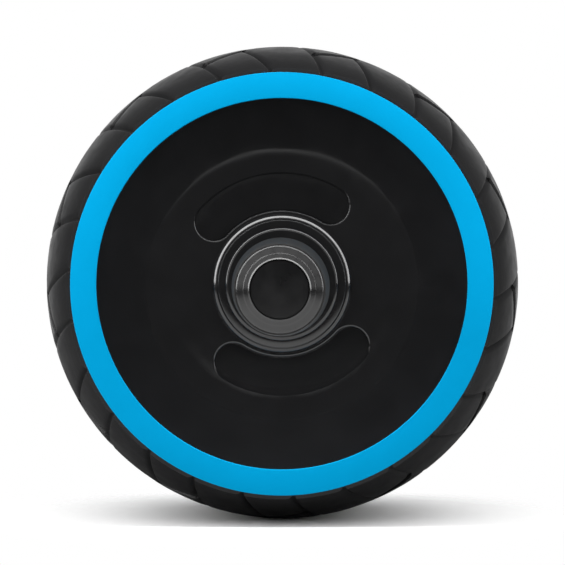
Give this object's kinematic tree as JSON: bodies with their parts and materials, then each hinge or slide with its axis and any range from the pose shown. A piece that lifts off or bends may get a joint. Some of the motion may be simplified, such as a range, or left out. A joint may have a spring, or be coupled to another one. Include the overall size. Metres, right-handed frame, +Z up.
{
  "type": "ab wheel roller",
  "caption": "Wide domed rubber wheel that turns on ball bearings about a through axle, with a blue trim ring and a gloss dished cover on each side and a rubber grip at each end",
  "frame": {"origin": "the middle of the wheel, on the axle", "axes": "+Y along the axle towards the left handle, +Z up, +X the way the wheel rolls forward; the floor is at z = -0.095 m"},
  "size_m": [0.19, 0.396, 0.19],
  "materials": {
    "tyre": "moulded matt rubber",
    "drum_plastic": "moulded",
    "trim_plastic": "satin moulded, blue",
    "cover_plastic": "polished moulded",
    "collar_plastic": "polished moulded",
    "bearing_steel": "ground and polished",
    "cage_plastic": "moulded polyamide",
    "shield_steel": "pressed",
    "zinc_steel": "zinc plated",
    "axle_steel": "drawn tube",
    "spacer_alloy": "turned",
    "spring_steel": "black phosphated",
    "core_plastic": "moulded",
    "grip_rubber": "stippled, matt",
    "cap_plastic": "moulded",
    "disc_plastic": "fine satin"
  },
  "bodies": {
    "axle_assembly": {"axle": "axle_steel", "bearing_spacer": "spacer_alloy", "left_bearing_inner_ring": "bearing_steel", "left_circlip": "spring_steel", "left_axle_plug": "zinc_steel", "left_handle_core": "core_plastic", "left_handle_washer": "zinc_steel", "left_handle_bolt": "zinc_steel", "left_grip": "grip_rubber", "left_end_cap": "cap_plastic", "left_cap_disc": "disc_plastic", "right_bearing_inner_ring": "bearing_steel", "right_circlip": "spring_steel", "right_axle_plug": "zinc_steel", "right_handle_core": "core_plastic", "right_handle_washer": "zinc_steel", "right_handle_bolt": "zinc_steel", "right_grip": "grip_rubber", "right_end_cap": "cap_plastic", "right_cap_disc": "disc_plastic"},
    "wheel": {"tyre": "tyre", "drum_screws": "zinc_steel", "left_drum_half": "drum_plastic", "left_trim_ring": "trim_plastic", "left_side_cover": "cover_plastic", "left_hub_collar": "collar_plastic", "left_bearing_outer_ring": "bearing_steel", "left_bearing_shields": "shield_steel", "right_drum_half": "drum_plastic", "right_trim_ring": "trim_plastic", "right_side_cover": "cover_plastic", "right_hub_collar": "collar_plastic", "right_bearing_outer_ring": "bearing_steel", "right_bearing_shields": "shield_steel"},
    "left_ball_set": {"left_bearing_cage": "cage_plastic", "left_bearing_balls": "bearing_steel"},
    "right_ball_set": {"right_bearing_cage": "cage_plastic", "right_bearing_balls": "bearing_steel"}
  },
  "joints": [
    {"name": "wheel_spin", "type": "hinge", "parent": "axle_assembly", "child": "wheel", "pos_m": [0, 0, 0], "axis": [0, 1, 0], "continuous": true},
    {"name": "left_cage_orbit", "type": "hinge", "parent": "axle_assembly", "child": "left_ball_set", "pos_m": [0, 0.03985, 0], "axis": [0, 1, 0], "continuous": true},
    {"name": "right_cage_orbit", "type": "hinge", "parent": "axle_assembly", "child": "right_ball_set", "pos_m": [0, -0.03985, 0], "axis": [0, 1, 0], "continuous": true}
  ],
  "couplings": [
    {"joint": "left_cage_orbit", "follows": "wheel_spin", "ratio": 0.6024},
    {"joint": "right_cage_orbit", "follows": "wheel_spin", "ratio": 0.6024}
  ]
}
